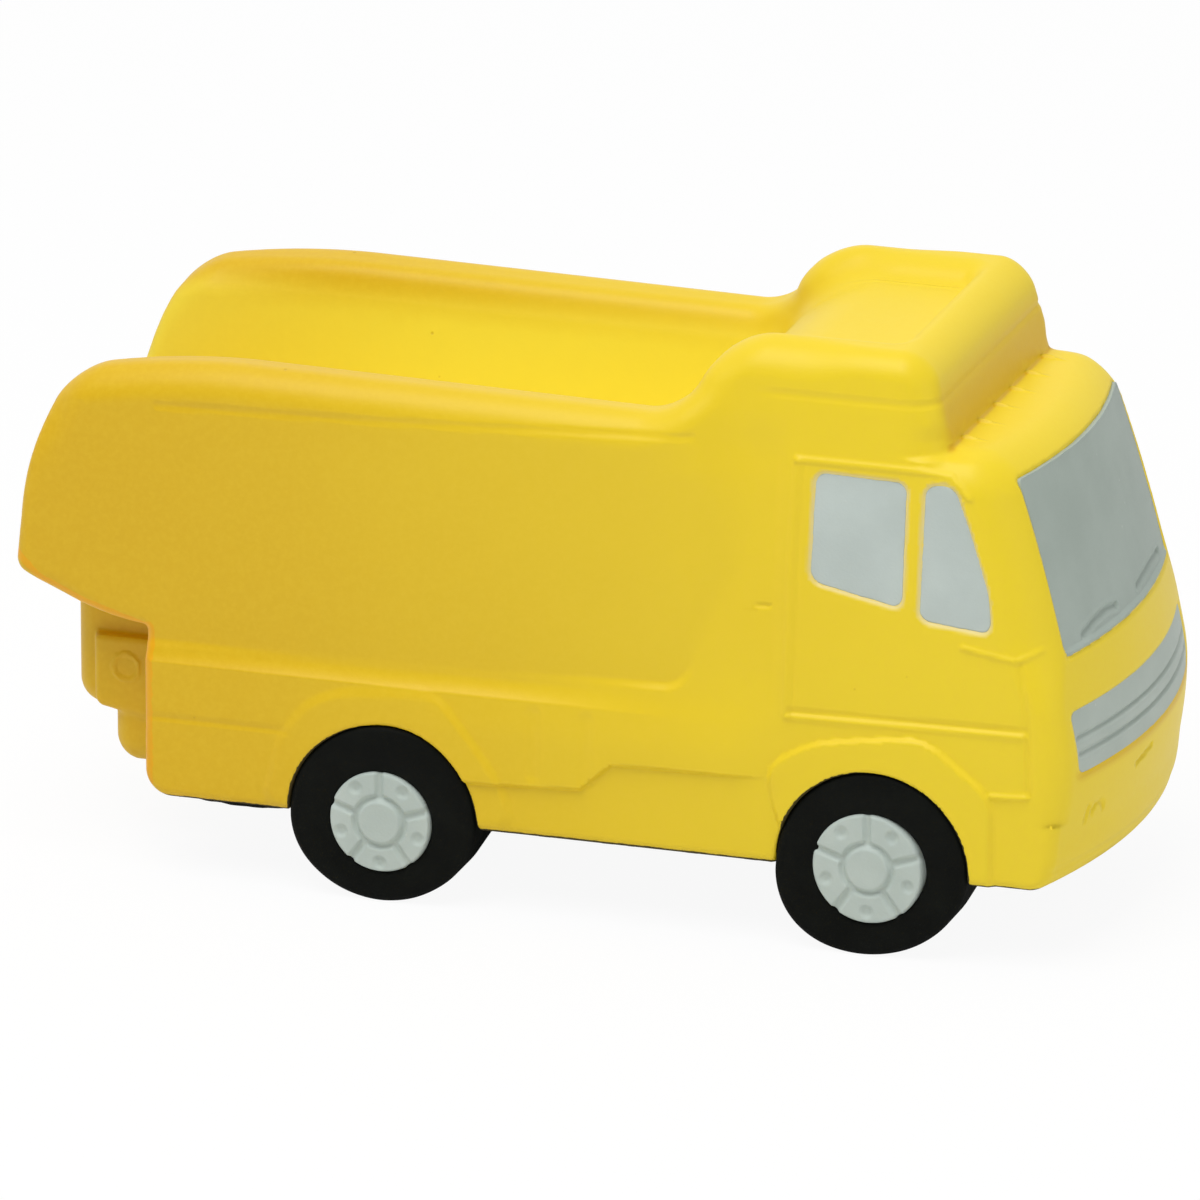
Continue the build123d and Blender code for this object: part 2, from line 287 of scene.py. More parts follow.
# relief in mm
SHELF = 0.75  # the side above the chassis stands in by this
HOLLOW = 0.3  # depth of the hollow in the cab's side
BROW_STEP = 0.45  # the brow stands in from the door by this
FRONT_FLARE_RISE, REAR_FLARE_RISE, STEP_RISE = 0.45, 0.32, 0.45
PANE_SUNK, SCREEN_SUNK, GRILLE_SUNK, SLOT_SUNK = 0.28, 0.30, 0.16, 0.34
WIPER_SUNK, MOULD_MARK_SUNK, SEAM_SUNK, RIDGE_RISE = 0.30, 0.22, 0.12, 0.34
# line, its height outwards, its half width, and how far below its points it runs
SIDE_LINES = (
    # upright hollows above the step between the wheels
    ([(NOSE - 53.8, 13.8), (NOSE - 53.8, 19.5)], -0.16, 1.0, 0),
    ([(NOSE - 48.8, 13.8), (NOSE - 48.8, 19.5)], -0.16, 1.0, 0),
    # hopper crest, and two mould nicks in the side panel
    ([(LIP + 14, 45.2), (LIP + 36, 45.9), (NOSE - 39.0, 47.2)], -0.13, 0.55, 0),
    ([(NOSE - 34.0, 31.4), (NOSE - 33.2, 31.4)], -0.14, 0.25, 0),
    ([(NOSE - 33.1, 31.8), (NOSE - 31.8, 31.9)], -0.14, 0.25, 0),
    # door: top, rear edge, front edge, and the fold along its foot
    ([(DOOR_REAR + 0.2, 45.8), (NOSE - 17.8, 45.8), (NOSE - 15.0, 45.5), (NOSE - 13.2, 43.8)],
     0.22, 0.5, 0),
    ([(DOOR_REAR + 0.3, 45.6), (DOOR_REAR - 0.1, 36.0), (DOOR_REAR - 0.3, 21.9)], 0.20, 0.7, 0),
    ([(NOSE - 8.2, 28.8), (NOSE - 7.4, 24.5), (NOSE - 7.1, 17.0)], -0.16, 0.45, 0),
    (DOOR_FOLD, 0.16, 0.55, 0.35),
    (DOOR_FOLD, -0.16, 0.5, -0.2),
    # belt under the quarter pane, and the top of the bumper
    ([(NOSE - 13.4, 30.0), (NOSE - 8.4, 29.2), (NOSE - 6.5, 30.0)], 0.20, 0.5, 0),
    ([(NOSE - 10.6, 16.4), (NOSE - 7.3, 16.6)], 0.26, 0.5, 0),
)


def side_half_width(x, z):
    """Half width of the truck at each point of its side: the plain form and all its relief."""
    barrel = 0.2 * ((z - 36) / 13) ** 2 + 0.12 * ((x - LIP - 36) / 36) ** 2
    panel = HOPPER_HALF + HOPPER_FLARE * (np.minimum(z, CREST) - SKIRT) - barrel
    fore = ease(LIP + 44, NOSE - 36, x)
    shelf = SHELF - 0.3 * fore - 0.15 * fade(LIP + 12, LIP + 30, x)
    rise = np.clip((z - SHOULDER + 0.4) / (1.8 + 1.3 * fore), 0, 1)
    rear = CHASSIS_HALF - shelf * rise * (2 - rise)
    cab = through(CAB_WIDTH_STOPS, z)
    hollow = HOLLOW * ease(SHOULDER - 1, SHOULDER + 5, z) * fade(45, 50, z)
    cab = cab - hollow * fade(DOOR_REAR - 2.0, DOOR_REAR - 0.3, x)
    cab = cab - BROW_STEP * ease(NOSE - 20.5, NOSE - 17.5, x) * ease(46.5, 47.1, z)
    on_cab = ease(NOSE - 50, NOSE - 36, x)
    base = rear * (1 - on_cab) + cab * on_cab
    soft = 0.45 + 6.0 * ease(25, 46, z)
    inside = ease(-soft, soft, -outline_gap(PANEL_OUTLINE, x, z, 2.4))
    return base + (panel - base) * inside + side_relief(x, z)


def side_pane_gap(x, z):
    """Signed distance to the nearer of the two side panes."""
    door = outline_gap(DOOR_PANE, x, z, PANE_ROUND)
    return np.minimum(door, outline_gap(QUARTER_PANE, x, z, PANE_ROUND))


def side_relief(x, z):
    """Raised and sunk lines of the doors, arches and sills, in mm outwards."""
    front, rear = WHEELS["front"], WHEELS["rear"]
    relief = FRONT_FLARE_RISE * fade(-0.3, 0.35, outline_gap(FRONT_FLARE, x, z, 1.2))
    relief = relief * (1 - ease(0.5, 3, NOSE - 29.5 - x) * ease(-0.5, 2, 16.2 - z))
    relief = relief + REAR_FLARE_RISE * fade(-0.8, 0.7, outline_gap(REAR_FLARE, x, z, 1.8))
    between = ease(rear["x"], rear["x"] + 8, x) * fade(front["x"] - 14, front["x"] - 9, x)
    step_height = np.interp(x, [p[0] for p in STEP_EDGE], [p[1] for p in STEP_EDGE])
    step = STEP_RISE * between * ease(-0.2, 0.2, z - step_height) * fade(17, 23, z)
    relief = relief + step
    behind = ease(TAIL - 1, TAIL + 2, x) * fade(rear["x"] - 11, rear["x"] - 8, x)
    relief = relief - SEAM_SUNK * behind * groove(abs(z - 15.3), 0.5)
    for line, height, width, below in SIDE_LINES:
        relief = relief + height * groove(line_gap(line, x, z + below), width)
    relief = relief - PANE_SUNK * fade(-0.1, 0.45, side_pane_gap(x, z))
    seam = groove(abs(z - FAIRING_SEAM), 0.6) * ease(DOOR_REAR - 5, DOOR_REAR - 1, x)
    return relief - SEAM_SUNK * seam


# ------------ front relief
WINDSCREEN_HALF = windscreen_high[1]
WINDSCREEN_TOP_HALF = WINDSCREEN_HALF - 0.6
SCREEN_SILL = windscreen_low[2] - 0.2
SCREEN_ROUND = 0.5  # of the pane's corners
GRILLE_HALF = grille_high[1] + 1.2
GRILLE_SHIFT = -0.35  # towards the right side of the truck
WIPERS = [
    [(-11.6, 30.2), (-9.0, 30.8), (-6.4, 31.0), (-4.3, 30.7)],
    [(1.7, 30.6), (4.4, 30.8), (7.6, 30.9), (11.6, 30.6)],
]
RIDGES = (2.4, 7.2, 12.0)  # distance from the middle of the ridges on the brow


def pane_front(y, z):
    """Signed distance to the windscreen outline, in Y and Z."""
    top, sill = windscreen_high[2], SCREEN_SILL
    half = WINDSCREEN_TOP_HALF + (WINDSCREEN_HALF - WINDSCREEN_TOP_HALF) * (top - z) / (top - sill)
    return smooth_max(abs(y) - half, band_gap(z, sill, top), SCREEN_ROUND)


def grille_gap(y, z):
    """Signed distance to the grille outline, in Y and Z."""
    across = abs(y - GRILLE_SHIFT) - GRILLE_HALF
    return smooth_max(across, band_gap(z, grille_low[2], grille_high[2]), 0.7)


def front_relief(y, z):
    """Raised and sunk lines of the nose, in mm forwards."""
    relief = -SCREEN_SUNK * fade(-0.15, 0.4, pane_front(y, z))
    lip = groove(abs(z - SCREEN_SILL - 0.35), 0.45) * fade(14.6, 15.6, abs(y))
    relief = relief + 0.28 * lip
    for wiper in WIPERS:
        gap = line_gap(wiper, y, z + 0.45)
        relief = relief - WIPER_SUNK * groove(gap, 0.5) + 0.06 * groove(abs(gap - 0.6), 0.3)
    slots = 0
    for share in (0.30, 0.56):
        at = grille_low[2] + share * (grille_high[2] - grille_low[2])
        slots = slots + groove(abs(z - at), 0.38)
    inside = fade(-0.5, -0.2, grille_gap(y, z))
    relief = relief - SLOT_SUNK * slots * inside
    relief = relief - GRILLE_SUNK * fade(-0.15, 0.35, grille_gap(y, z))
    dash = groove(line_gap([(-5.9, 16.0), (-2.2, 16.6)], y, z), 0.4)
    arcs = groove(abs(np.hypot(y + 13.0, z - 13.6) - 1.0), 0.4) * ease(13.3, 13.9, z)
    tick = groove(line_gap([(-15.0, 13.4), (-14.6, 14.6)], y, z), 0.4)
    sill = groove(abs(z - 9.6), 0.6)
    return relief - 0.25 * dash - MOULD_MARK_SUNK * (arcs + tick) - 0.10 * sill


# ------------ whole body
POCKET = 0.4  # sunk bed under each painted film
CLEARANCE = 0.03  # between the body and the tyres


def side_outline(x, z):
    """Side view of hopper, chassis and roof, without the front: distance, negative inside."""
    aft = positive(CREST_TURN - x)
    crest = CREST - CREST_DROOP * aft ** 2 - CREST_FALL * positive(x - CREST_TURN)
    roof = ROOF - 0.012 * positive(x - FAIRING_FRONT) ** 2
    crest = crest + (roof - crest) * ease(FAIRING_REAR, DOOR_REAR, x)
    top = (z - crest) / np.hypot(1, 2 * CREST_DROOP * aft)
    above = positive(z - REAR_TURN)
    edge = LIP + REAR_LEAN * (z - LIP_HEIGHT) + REAR_CURL * above ** 2
    rear = (edge - x) / np.hypot(1, REAR_LEAN + 2 * REAR_CURL * above)
    outer = smooth_max(top, rear, REAR_ROUND)
    back = positive(TAIL + 0.5 - x)
    under_z = SKIRT + UNDER_SLOPE * back + UNDER_CURVE * back ** 2
    under = (under_z - z) / np.hypot(1, UNDER_SLOPE + 2 * UNDER_CURVE * back)
    hopper = smooth_max(outer, under, 0.9)
    chassis = smooth_max(TAIL - x, BOTTOM - z, 2.5)
    chassis = smooth_max(chassis, z - SKIRT - 4, 1.0)
    return smooth_min(hopper, chassis, 0.35)


def fairing_outline(x, z):
    """Side view of the roof fairing: sloping back, level top, leaning front."""
    rear = (FAIRING_REAR + FAIRING_REAR_LEAN * (z - FAIRING_REAR_HEIGHT) - x)
    rear = rear / math.hypot(1, FAIRING_REAR_LEAN)
    front = x - FAIRING_FRONT + FAIRING_LEAN * (z - FAIRING_FOOT)
    front = front / math.hypot(1, FAIRING_LEAN)
    seam = groove(abs(z - FAIRING_SEAM), 0.45)
    arch = smooth_max(smooth_max(rear, z - FAIRING_TOP, 4.0), front + SEAM_SUNK * seam, 2.8)
    return smooth_max(arch, FLOOR - z, 1.0)


def front_gap(x, y, z):
    """Distance ahead of the bowed nose, by its setback and bow at each height."""
    setback = through(FRONT_STOPS, z, 1)
    bow = through(FRONT_STOPS, z, 2)
    reach = through(CAB_WIDTH_STOPS, z) - CORNER_ROUND + 0.4
    ahead = x - NOSE + setback + bow * (y / reach) ** 2 - front_relief(y, z)
    slope = 2 * bow * y / reach ** 2
    return ahead / np.hypot(1, slope)


def cavity_gap(x, a, z):
    """Inside of the trough: between the walls, above the floor and behind the bulkhead."""
    rim = (CAVITY_TOP - PANEL_HALF) * ease(CREST - 3, CREST + 3.5, z)
    wall = a - CAVITY_TOP + CAVITY_DRAFT * positive(CREST - z) + rim
    floor = FLOOR + RAMP_SLOPE * positive(RAMP_START - x) - z
    floor = floor / np.hypot(1, RAMP_SLOPE * (x < RAMP_START))
    bulkhead = x - through(BULKHEAD_STOPS, z)
    return smooth_max(smooth_max(wall, floor, CAVITY_ROUND), bulkhead, CAVITY_ROUND)


def roof_panel_gap(x, a, z):
    """Sunk roof panel: above its floor, inside the rim, open behind."""
    floor = PANEL_FLOOR - z
    side = (a - PANEL_HALF - PANEL_SLOPE * (z - PANEL_FLOOR)) / math.hypot(1, PANEL_SLOPE)
    ahead = x - PANEL_FRONT - 0.25 * (z - PANEL_FLOOR)
    step = 0.10 * groove(abs(a - PANEL_HALF + 1.0), 0.5)
    return smooth_max(smooth_max(side, ahead, 1.2), floor + step, 0.8)


def block_gap(x, a, z, length, half, bottom, top, r, r_bottom):
    """Block behind the tail, its upright corners rounded by r and its lower edge by r_bottom."""
    plan = smooth_max(TAIL - length - x, a - half, r)
    plan = smooth_max(plan, bottom - z, r_bottom)
    return np.maximum(plan, np.maximum(x - TAIL - 2, z - top))


def tail_gap(x, a, z):
    """Light block with its lamp pad and lamp ring, and the step block below."""
    core = block_gap(x, a, z, 9.35, 11.8, 12.6, 28.0, 2.2, 2.6)
    foot = 13.3 - 0.2 * positive(x - TAIL + 7.1)
    pad = block_gap(x, a, z, 7.1, 13.0, foot, 20.4, 0.7, 1.0)
    pad = smooth_max(pad, z - 20.4, 0.7)
    lamp = np.hypot(x - TAIL + 3.9, z - 17.4)
    pad = pad - 0.18 * groove(abs(lamp - 1.25), 0.4)
    step = block_gap(x, a, z, 5.6, 12.4, BOTTOM, 16.0, 2.0, 2.8)
    return smooth_min(smooth_min(core, pad, 0.4), step, 0.5)


def wheel_pocket_gap(x, a, z):
    """Room for one pair of wheels at each end."""
    gap = None
    for end, wheel in WHEELS.items():
        swell = positive(tyre_swell(end, np.arctan2(z - wheel["z"], x - wheel["x"])))
        round_gap = np.hypot(x - wheel["x"], z - wheel["z"]) - wheel["radius"] - swell - CLEARANCE
        pocket = np.maximum(round_gap, wheel["inner"] - CLEARANCE - a)
        gap = pocket if gap is None else np.minimum(gap, pocket)
    return gap


def brow_ridges(x, a):
    """Height of the short ridges on the brow: each tapers away forward of the fairing foot."""
    height = 0
    for at in RIDGES:
        taper = ease(FAIRING_FRONT, FAIRING_FRONT + 0.4, x)
        taper = taper * fade(FAIRING_FRONT + 0.4, FAIRING_FRONT + 2.8, x)
        height = height + RIDGE_RISE * groove(abs(a - at), 0.32) * taper
    return height


def body_gap(x, y, z):
    """Distance to the surface of the one-piece foam body, negative inside."""
    a = abs(y)
    tilt = CREST_TILT * positive(17.5 - a) * ease(42, 46, z)
    hopper = side_outline(x, z + tilt * fade(DOOR_REAR - 7, DOOR_REAR - 2, x))
    fairing = fairing_outline(x, z)
    outline = smooth_min(hopper, fairing, 3.0)
    on_top = ease(ROOF - 2, ROOF - 1, z) * fade(ROOF + 0.4, ROOF + 0.8, z)
    side_view = hopper - brow_ridges(x, a) * on_top
    ahead = ease(FAIRING_FRONT - 8, FAIRING_FRONT - 3, x)
    outline = outline * (1 - ahead) + smooth_min(side_view, fairing, 0.12) * ahead
    painted = np.minimum(pane_front(y, z), grille_gap(y, z))
    front = front_gap(x, y, z) + POCKET * fade(-0.5, -0.2, painted)
    outline = smooth_max(outline, front, np.where(z > BELT_HEIGHT, ROOF_ROUND, FOOT_ROUND))
    side = a - side_half_width(x, z) + POCKET * fade(-0.5, -0.2, side_pane_gap(x, z))
    # radius between the sides and the outline: small at the sill, larger on the crests and cab
    edge_round = 1.0 + 2.2 * ease(LIP + 1, LIP + 5, x) * ease(SKIRT, SKIRT + 8, z)
    edge_round = edge_round + 1.0 * ease(NOSE - 16, NOSE - 9, x) * (z > 14)
    edge_round = edge_round - 0.9 * ease(0, 6, x - DOOR_REAR) * ease(48, 50, z)
    edge_round = np.where(z < 14, 0.9, edge_round)
    body = smooth_max(side, outline, edge_round)
    body = smooth_min(body, tail_gap(x, a, z), 0.35)
    rim_round = RIM_ROUND + (CAVITY_ROUND - RIM_ROUND) * ease(LIP + 2, LIP + 9, x)
    body = smooth_max(body, -cavity_gap(x, a, z), rim_round)
    body = smooth_max(body, -roof_panel_gap(x, a, z), 1.5)
    return smooth_max(body, -wheel_pocket_gap(x, a, z), 0.35)


# ------------ meshes
def level_surface(gap, low, high, step):
    """Surface where gap is zero: a point in every grid cell that it crosses, at the mean of the
    crossings on the cell's edges, and a four-sided face round every grid edge that it crosses."""
    axes = [np.arange(a, b + step, step) for a, b in zip(low, high)]
    value = gap(axes[0][:, None, None], axes[1][None, :, None], axes[2][None, None, :])
    value = np.where(value == 0, 1e-9, value)
    shape = np.array(value.shape)
    cell_ids, points, quads = [], [], []
    for axis in range(3):
        first = [slice(None)] * 3
        second = [slice(None)] * 3
        first[axis], second[axis] = slice(0, -1), slice(1, None)
        v0, v1 = value[tuple(first)], value[tuple(second)]
        at = np.argwhere((v0 < 0) != (v1 < 0))
        u, v = [k for k in range(3) if k != axis]
        around = at[:, (u, v)]
        at = at[((around > 0) & (around < shape[[u, v]] - 1)).all(1)]
        a0, a1 = v0[tuple(at.T)], v1[tuple(at.T)]
        crossing = at.astype(float)
        crossing[:, axis] += a0 / (a0 - a1)
        ring = []
        for du, dv in ((-1, -1), (0, -1), (0, 0), (-1, 0)):
            cell = at.copy()
            cell[:, u] += du
            cell[:, v] += dv
            flat = np.ravel_multi_index(cell.T, value.shape)
            ring.append(flat)
            cell_ids.append(flat)
            points.append(crossing)
        ring = np.stack(ring, axis=1)
        backwards = (a0 < 0) == (axis == 1)
        ring[backwards] = ring[backwards][:, ::-1]
        quads.append(ring)
    used, index = np.unique(np.concatenate(cell_ids), return_inverse=True)
    total = np.bincount(index)
    points = np.concatenate(points)
    mean = np.stack([np.bincount(index, points[:, k]) / total for k in range(3)], axis=1)
    faces = np.searchsorted(used, np.concatenate(quads))
    return mean * step + np.array([a[0] for a in axes]), faces


def slope_of(gap, points):
    """Gradient of gap at the points, by central differences."""
    reach, columns = 0.04, []
    for k in range(3):
        shift = np.zeros(3)
        shift[k] = reach
        columns.append((gap(*(points + shift).T) - gap(*(points - shift).T)) / (2 * reach))
    return np.stack(columns, axis=1)


def settle(gap, points, rounds, most):
    """Points drawn onto the zero surface along the gradient, no step longer than most."""
    for _ in range(rounds):
        slope = slope_of(gap, points)
        square = positive((slope ** 2).sum(1) - 0.09) + 0.09
        move = -(gap(*points.T) / square)[:, None] * slope
        length = np.linalg.norm(move, axis=1, keepdims=True)
        points = points + move * np.minimum(1, most / np.maximum(length, 1e-9))
    return points


def place_in_scene(name, data):
    """Object made of the data and linked to the scene."""
    made = bpy.data.objects.new(name, data)
    bpy.context.scene.collection.objects.link(made)
    return made


def add_mesh(name, points, faces):
    """Mesh object of the points, given in millimetres, smooth shaded."""
    mesh = bpy.data.meshes.new(name)
    mesh.from_pydata((points * MM).tolist(), [], faces)
    mesh.validate()
    mesh.shade_smooth()
    return place_in_scene(name, mesh)


def thin_out(piece, ratio):
    """Fewer triangles where the surface is flat: the Decimate modifier, applied."""
    modifier = piece.modifiers.new("thin_out", "DECIMATE")
    modifier.ratio = ratio
    bpy.context.view_layer.update()
    graph = bpy.context.evaluated_depsgraph_get()
    mesh = bpy.data.meshes.new_from_object(piece.evaluated_get(graph))
    piece.modifiers.clear()
    piece.data = mesh


def coordinates(piece):
    """Vertex places of a piece in millimetres."""
    flat = np.zeros(len(piece.data.vertices) * 3)
    piece.data.vertices.foreach_get("co", flat)
    return flat.reshape(-1, 3) / MM


def refine(piece, gap):
    """Vertices settled once more, and shading normals taken from the gradient."""
    points = settle(gap, coordinates(piece), 2, 0.08)
    piece.data.vertices.foreach_set("co", (points * MM).ravel())
    normal = slope_of(gap, points)
    normal /= np.maximum(np.linalg.norm(normal, axis=1, keepdims=True), 1e-9)
    piece.data.normals_split_custom_set_from_vertices(normal)


def level_piece(name, gap, low, high, step, triangles):
    """Piece with the zero surface of gap as its skin, thinned to a number of triangles."""
    points, faces = level_surface(gap, low, high, step)
    points = settle(gap, points, 3, step * 0.5)
    piece = add_mesh(name, points, faces.tolist())
    count = 2 * len(faces)
    if count > triangles:
        thin_out(piece, triangles / count)
    refine(piece, gap)
    return piece


def grid_faces(rows, columns):
    """Four-sided faces of a grid of points, closed round its columns."""
    row, column = np.arange(rows - 1)[:, None], np.arange(columns)[None, :]
    after = (column + 1) % columns
    corners = (row * columns + column, row * columns + after,
               (row + 1) * columns + after, (row + 1) * columns + column)
    return np.stack(corners, axis=-1).reshape(-1, 4)


def face_outwards(piece):
    """Normals recalculated to point out of a closed piece."""
    work = bmesh.new()
    work.from_mesh(piece.data)
    bmesh.ops.remove_doubles(work, verts=work.verts, dist=1e-7)
    bmesh.ops.recalc_face_normals(work, faces=work.faces)
    work.to_mesh(piece.data)
    work.free()
    piece.data.shade_smooth()


def closed_rings(name, rings):
    """Closed piece from rings of points, a pole point ending it at each side. The first and
    last ring are small, and each is closed by a fan of triangles."""
    rows, columns = rings.shape[:2]
    points = np.concatenate([rings.reshape(-1, 3), rings[:1].mean(1), rings[-1:].mean(1)])
    faces = grid_faces(rows, columns).tolist()
    column = np.arange(columns)
    after = (column + 1) % columns
    first, last = rows * columns, rows * columns + 1
    start = (rows - 1) * columns
    faces += np.stack([np.full(columns, first), after, column], 1).tolist()
    faces += np.stack([np.full(columns, last), start + column, start + after], 1).tolist()
    piece = add_mesh(name, points, faces)
    face_outwards(piece)
    return piece


# ------------ pieces
BODY_STEP, QUICK_STEP = 0.32, 0.5
BODY_TRIANGLES, COAT_TRIANGLES = 194000, 60000
FILM_DEPTH = 0.7  # the back of a painted film lies this deep in the body


def make_body():
    """One-piece body, its side, front and roof relief in the surface itself."""
    step = BODY_STEP
    low = (LIP - 1, -CHASSIS_HALF - 1.5, BOTTOM - 1)
    high = (NOSE + 1, CHASSIS_HALF + 1.5, FAIRING_TOP + 1)
    return level_piece("foam_body", body_gap, low, high, step, BODY_TRIANGLES)


def tyre_swell(end, angle):
    """Uneven growth of the tyre: smooth humps, each at an angle in degrees."""
    total = 0
    for at, height in TYRE_SWELLS[end]:
        away = abs((angle - math.radians(at) + np.pi) % (2 * np.pi) - np.pi)
        total = total + height * groove(away, 1.1)
    return total


def tyre_radius_at(end, wheel, angle, seed):
    """Radius round the wheel: a circle above the axle, half an ellipse down to the ground."""
    down = positive(-np.sin(angle))
    ellipse = 1 / np.hypot(np.cos(angle) / wheel["radius"], down / wheel["z"])
    whole = np.where(down > 0, ellipse, wheel["radius"])
    return whole + tyre_swell(end, angle) + wobble(angle, 0.015, seed)


def make_tyre(end, side, sign):
    """Foam tyre: a profile of inner face, tapering tread, rounded edge, side and seat, carried
    round its axle, its radius from tyre_radius_at and its lower half leaning back."""
    wheel = WHEELS[end]
    radius, hub, outer = wheel["radius"], wheel["hub"], wheel["outer"]
    arc = np.linspace(0, np.pi / 2, 9)
    inner, edge, chamfer, taper, tread = wheel["inner"], 0.7, 0.6, 0.9, 11
    # share of the outline's unevenness that is followed, radius, and place along the axle
    profile = [(0.0, 0.02, inner), (1, 7.3, inner), (1, 7.9, inner + chamfer)]
    profile += [(1, radius - taper * (1 - t), inner + chamfer + tread * t)
                for t in (0.3, 0.6, 0.9, 1)]
    profile += [(1, radius - edge * (1 - math.cos(t)), outer - edge * (1 - math.sin(t)))
                for t in arc]
    wall = radius - edge - hub - 0.5
    for share in (0.25, 0.5, 0.75):
        bulge = 0.16 * math.sin(math.pi * share)
        profile.append((1 - share, radius - edge - share * wall, outer + bulge))
    profile += [(0, hub + 0.4, outer), (0, hub + 0.1, outer - 0.1), (0, hub - 0.1, outer - 0.3)]
    profile += [(0, hub - 0.2, outer - 1.3), (0, 0.02, outer - 1.35)]
    profile = np.array(profile)
    angle = angles_round(160)
    around = tyre_radius_at(end, wheel, angle, 5 + len(end)) - radius
    r = profile[:, 1][:, None] + profile[:, 0][:, None] * around[None, :]
    lean = TYRE_SKEW[end] * positive(-np.sin(angle)) * r / radius
    y = np.broadcast_to(sign * profile[:, 2][:, None], r.shape)
    rings = np.stack([wheel["x"] + r * np.cos(angle) - lean, y,
                      wheel["z"] + r * np.sin(angle)], axis=-1)
    piece = closed_rings(f"foam_tyre_{end}_{side}", rings)
    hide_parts(f"tyre_{end}_{side}")
    return piece


def hub_height(r, angle, hub):
    """Relief of a wheel centre: boss, ring groove, five dimpled pads and a soft outer edge."""
    boss, gap = 2.25, 0.5
    pad_angle = (angle - np.pi / 2) % (2 * np.pi / 5)
    spoke = np.minimum(pad_angle, 2 * np.pi / 5 - pad_angle) * r
    pads = ease(boss + 0.1, boss + gap, r) * ease(0.12, 0.5, spoke)
    height = 0.34 * pads + 0.46 * fade(boss - 0.45, boss + 0.05, r)
    middle = (boss + gap + hub) / 2
    across = np.hypot(r - middle, (pad_angle - np.pi / 5) * r)
    height = height - 0.26 * fade(0.25, 0.75, across)
    return height - 0.9 * ease(hub - 0.5, hub, r) ** 2


def make_wheel_centre(end, side, sign):
    """Wheel centre: rings of growing radius, their height from hub_height, then a flat back."""
    wheel = WHEELS[end]
    hub, middle = wheel["hub"] + 0.18, wheel["x"] - HUB_SHIFT[end]
    angle = angles_round(200)
    share = np.linspace(0.004, 1, 52) ** 0.9
    uneven = wobble(angle, 0.035, 11 + len(end))
    r = share[:, None] * (hub + 0.12 + uneven * share[:, None])
    base = wheel["hub_face"] - 0.15
    y = base + hub_height(np.minimum(r, hub), angle[None, :] + 0 * r, hub)
    back_r = np.stack([r[-1], r[-1] * 0.5, r[-1] * 0.01])
    back_y = np.full_like(back_r, wheel["hub_face"] - 1.15)
    r, y = np.concatenate([r, back_r]), np.concatenate([y, back_y])
    rings = np.stack([middle + r * np.cos(angle), sign * y, wheel["z"] + r * np.sin(angle)], -1)
    piece = closed_rings(f"wheel_disc_{end}_{side}", rings)
    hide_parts(f"wheel_centre_{end}_{side}")
    return piece


def rounded_outline(corners, r, count):
    """Ring of points at even angles round the middle, each on the rounded outline of the corners,
    found by halving along its ray."""
    middle = np.mean(corners, axis=0)
    angle = angles_round(count)
    near, far = np.zeros(count), np.full(count, 60.0)
    for _ in range(40):
        half = (near + far) / 2
        u, v = middle[0] + half * np.cos(angle), middle[1] + half * np.sin(angle)
        gap = outline_gap(corners, u, v, r)
        near, far = np.where(gap < 0, half, near), np.where(gap < 0, far, half)
    return middle, angle, near


def paint_film(name, corners, r, place, proud, seed, density=1.0):
    """Painted zone as a thin closed film: rings of points scaled out from its middle to an uneven
    rounded outline, laid on the body by place(u, v, lift), with a rolled edge and a flat back."""
    middle, angle, reach = rounded_outline(corners, r, int(240 * density))
    reach = reach + wobble(angle, 0.035, seed, (7, 12, 19, 31, 46))
    share = np.linspace(0.01, 1, int(46 * density))
    share = np.concatenate([share, [1.0, 1.0, 0.5, 0.01]])
    lift = np.full(len(share), proud)
    lift[-5] = proud * 0.6
    lift[-4], lift[-3:] = -0.08, -FILM_DEPTH
    u = middle[0] + share[:, None] * reach * np.cos(angle)
    v = middle[1] + share[:, None] * reach * np.sin(angle)
    rings = place(u, v, lift[:, None] + 0 * u)
    return closed_rings(name, rings)


def on_side(sign):
    """Places (x, z) on the body's side, lifted along Y."""
    def place(u, v, lift):
        y = side_half_width(u, v) + lift
        return np.stack([u, sign * y, v], axis=-1)
    return place


def on_front(u, v, lift):
    """Places (y, z) on the nose, lifted along X."""
    x = np.full_like(u, NOSE)
    for _ in range(6):
        x = x - front_gap(x, u, v)
    return np.stack([x + lift, u, v], axis=-1)


def make_side_panes():
    pieces = []
    for side, sign in SIDES:
        for name, corners, seed in (("door", DOOR_PANE, 3), ("quarter", QUARTER_PANE, 4)):
            place = on_side(sign)
            piece = paint_film(f"{name}_pane_{side}", corners, PANE_ROUND, place, 0.05, seed)
            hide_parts(f"{name}_window_{side}")
            pieces.append(piece)
    return pieces


def make_front_panes():
    top, sill = windscreen_high[2], SCREEN_SILL
    screen = [(-WINDSCREEN_TOP_HALF, top), (WINDSCREEN_TOP_HALF, top),
              (WINDSCREEN_HALF, sill), (-WINDSCREEN_HALF, sill)]
    piece = paint_film("windscreen_pane", screen, SCREEN_ROUND, on_front, 0.035, 7, 2.6)
    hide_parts("windscreen")
    top, sill = grille_high[2], grille_low[2]
    right, left = GRILLE_SHIFT - GRILLE_HALF, GRILLE_SHIFT + GRILLE_HALF
    band = [(right, top), (left, top), (left, sill), (right, sill)]
    grille = paint_film("grille_paint", band, 0.8, on_front, 0.035, 8, 2.2)
    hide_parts("grille_band")
    return [piece, grille]


